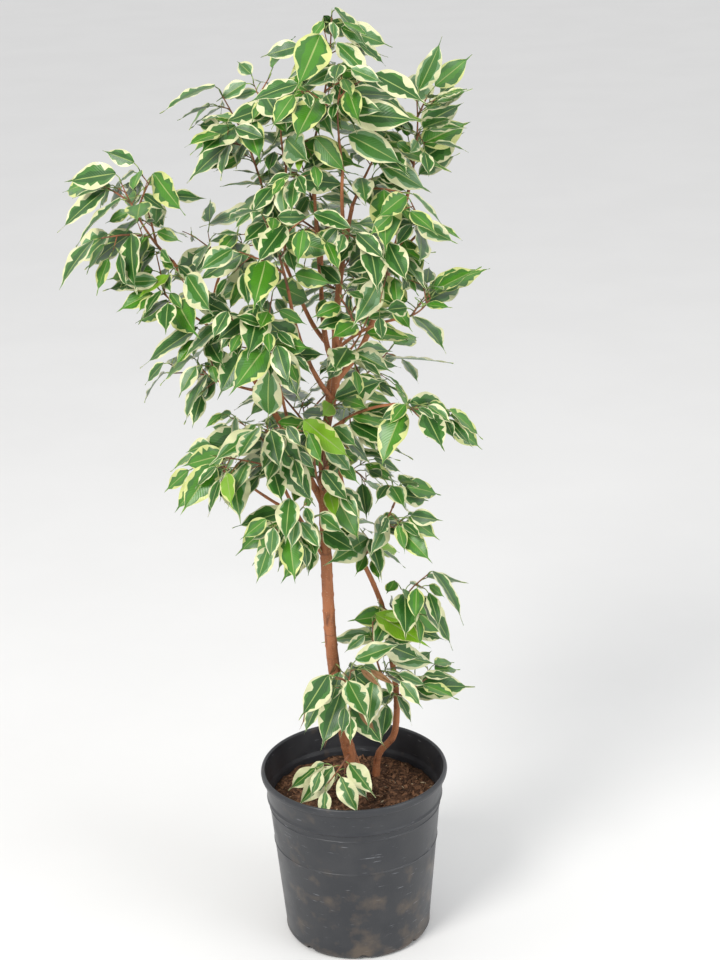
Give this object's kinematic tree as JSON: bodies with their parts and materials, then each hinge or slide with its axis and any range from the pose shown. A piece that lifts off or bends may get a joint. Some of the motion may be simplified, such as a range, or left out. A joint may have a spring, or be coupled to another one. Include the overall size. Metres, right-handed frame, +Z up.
{
  "type": "potted weeping fig",
  "caption": "Young variegated weeping fig with a leaning trunk, a thin second stem and drooping cream-edged leaves in a tapered black nursery pot",
  "frame": {"origin": "middle of the flat underside of the pot", "axes": "+Z up along the plant, +X to the right and +Y to the back as seen in the picture"},
  "size_m": [0.5283, 0.456, 1.2648],
  "materials": {
    "pot_plastic": "satin, scuffed and dusty",
    "potting_mix": "rough, crumbly",
    "bark": "matte bark with pale pores and ring scars",
    "foliage": "half-gloss leaf"
  },
  "bodies": {
    "root": {"pot": "pot_plastic", "soil": "potting_mix", "trunk": "bark", "second_stem": "bark", "left_bough": "bark", "back_left_bough": "bark", "mid_left_bough": "bark", "far_left_bough": "bark", "right_bough": "bark", "right_twig": "bark", "right_low_bough": "bark", "low_left_bough": "bark", "upper_bough": "bark", "top_bough": "bark", "high_left_bough": "bark", "left_side_bough": "bark", "left_rise_bough": "bark", "left_low_bough": "bark", "inner_left_bough": "bark", "right_side_bough": "bark", "low_left_out_bough": "bark", "right_inner_bough": "bark", "back_left_low_bough": "bark", "back_bough": "bark", "left_end_foliage": "foliage", "upper_left_foliage": "foliage", "top_foliage": "foliage", "top_right_foliage": "foliage", "high_left_foliage": "foliage", "upper_foliage": "foliage", "leader_foliage": "foliage", "back_left_foliage": "foliage", "mid_left_foliage": "foliage", "left_rise_foliage": "foliage", "left_side_foliage": "foliage", "left_low_foliage": "foliage", "inner_left_foliage": "foliage", "right_side_foliage": "foliage", "right_twig_foliage": "foliage", "right_low_foliage": "foliage", "right_inner_foliage": "foliage", "right_mid_foliage": "foliage", "low_left_foliage": "foliage", "low_left_out_foliage": "foliage", "low_left_hang_foliage": "foliage", "front_low_foliage": "foliage", "right_trunk_foliage": "foliage", "second_top_foliage": "foliage", "second_high_foliage": "foliage", "second_right_foliage": "foliage", "second_mid_foliage": "foliage", "far_right_foliage": "foliage", "low_front_foliage": "foliage", "foot_foliage": "foliage", "back_high_foliage": "foliage", "back_mid_foliage": "foliage", "back_right_foliage": "foliage", "back_low_foliage": "foliage", "back_left_low_foliage": "foliage"}
  },
  "joints": []
}
